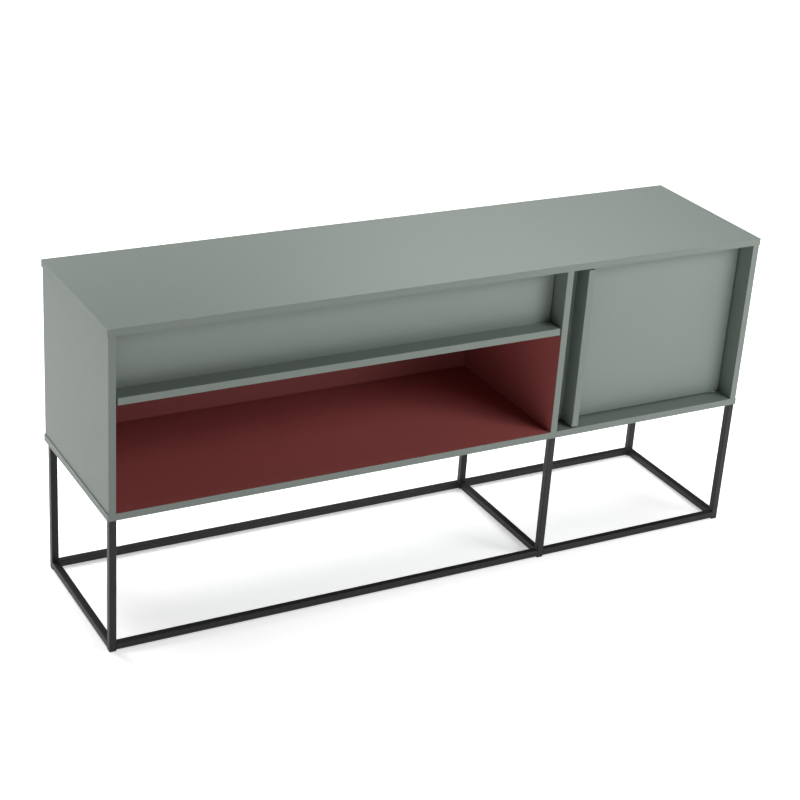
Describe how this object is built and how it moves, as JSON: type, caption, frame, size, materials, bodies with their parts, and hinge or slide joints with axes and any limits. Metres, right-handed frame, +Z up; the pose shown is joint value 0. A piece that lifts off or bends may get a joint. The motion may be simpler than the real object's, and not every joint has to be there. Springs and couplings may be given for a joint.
{
  "type": "sideboard buffet",
  "caption": "Long low board case on an open square-tube leg frame, with an open bay under a lift-up flap at the left and a hinged door at the right, each with a projecting fin grip.",
  "frame": {"origin": "on the floor, under the centre of the case", "axes": "+X to the right along the length, seen from the front; +Y to the back; +Z up; the front faces -Y"},
  "size_m": [1.6, 0.4, 0.74],
  "materials": {
    "lacquered_board": "matte grey-green lacquer over medium-density board",
    "red_back_board": "matte brick-red lacquer",
    "back_board": "matte grey-green lacquer",
    "frame_powder_coat": "satin black powder coat, fine texture",
    "black_screw": "black oxide",
    "glide_plastic": "moulded black",
    "dowel_beech": "raw beech",
    "white_nylon": "moulded nylon",
    "cover_plastic": "moulded, colour of the board",
    "bumper_rubber": "soft rubber",
    "catch_magnet": "ground, dull",
    "plated_steel": "bright zinc plate"
  },
  "bodies": {
    "case": {"top_panel": "lacquered_board", "bottom_panel": "lacquered_board", "side_panel_left": "lacquered_board", "side_panel_right": "lacquered_board", "divider_panel": "lacquered_board", "fixed_shelf": "lacquered_board", "adjustable_shelf": "lacquered_board", "back_panel_left": "red_back_board", "back_panel_right": "back_board", "cam_discs": "plated_steel", "cam_covers": "cover_plastic", "cam_bolts": "plated_steel", "wood_dowels": "dowel_beech", "back_panel_screws": "plated_steel", "shelf_pins": "plated_steel", "door_pivot_bushes": "white_nylon", "flap_pivot_bushes": "white_nylon", "flap_bumpers": "bumper_rubber", "catch_housing": "white_nylon", "catch_magnet": "catch_magnet", "catch_screws": "plated_steel", "stay_side_bracket": "plated_steel", "stay_side_screws": "plated_steel", "leg_front_left": "frame_powder_coat", "leg_front_mid": "frame_powder_coat", "leg_front_right": "frame_powder_coat", "leg_rear_left": "frame_powder_coat", "leg_rear_mid": "frame_powder_coat", "leg_rear_right": "frame_powder_coat", "cross_rail_left": "frame_powder_coat", "cross_rail_mid": "frame_powder_coat", "cross_rail_right": "frame_powder_coat", "front_rail_long": "frame_powder_coat", "front_rail_short": "frame_powder_coat", "rear_rail_long": "frame_powder_coat", "rear_rail_short": "frame_powder_coat", "mount_strap_left": "frame_powder_coat", "mount_strap_mid": "frame_powder_coat", "mount_strap_right": "frame_powder_coat", "strap_screws": "black_screw", "foot_glides": "glide_plastic"},
    "door": {"door_panel": "lacquered_board", "door_fin": "lacquered_board", "door_fin_screws": "plated_steel", "door_pivot_top": "plated_steel", "door_pivot_bottom": "plated_steel", "door_pivot_screws": "plated_steel", "door_strike_plate": "plated_steel"},
    "flap": {"flap_panel": "lacquered_board", "flap_fin": "lacquered_board", "flap_fin_screws": "plated_steel", "flap_pivot_left": "plated_steel", "flap_pivot_right": "plated_steel", "flap_pivot_screws": "plated_steel", "flap_stay_bracket": "plated_steel", "flap_stay_screws": "plated_steel", "stay_link_rivet": "plated_steel"},
    "stay_arm": {"stay_arm": "plated_steel", "stay_elbow_rivet": "plated_steel"},
    "stay_link": {"stay_link": "plated_steel"}
  },
  "joints": [
    {"name": "door_hinge", "type": "hinge", "parent": "case", "child": "door", "pos_m": [0.768, -0.146, 0.527], "axis": [0, 0, 1], "range_deg": [0, 95]},
    {"name": "flap_hinge", "type": "hinge", "parent": "case", "child": "flap", "pos_m": [-0.257, -0.146, 0.71], "axis": [-1, 0, 0], "range_deg": [0, 90]},
    {"name": "stay_arm_pivot", "type": "hinge", "parent": "case", "child": "stay_arm", "pos_m": [-0.77775, -0.046, 0.69], "axis": [-1, 0, 0], "range_deg": [0, 90]},
    {"name": "stay_link_pivot", "type": "hinge", "parent": "flap", "child": "stay_link", "pos_m": [-0.77475, -0.121, 0.625], "axis": [-1, 0, 0], "range_deg": [-90, 0]}
  ],
  "couplings": [
    {"joint": "stay_arm_pivot", "follows": "flap_hinge", "ratio": 1},
    {"joint": "stay_link_pivot", "follows": "flap_hinge", "ratio": -1}
  ]
}
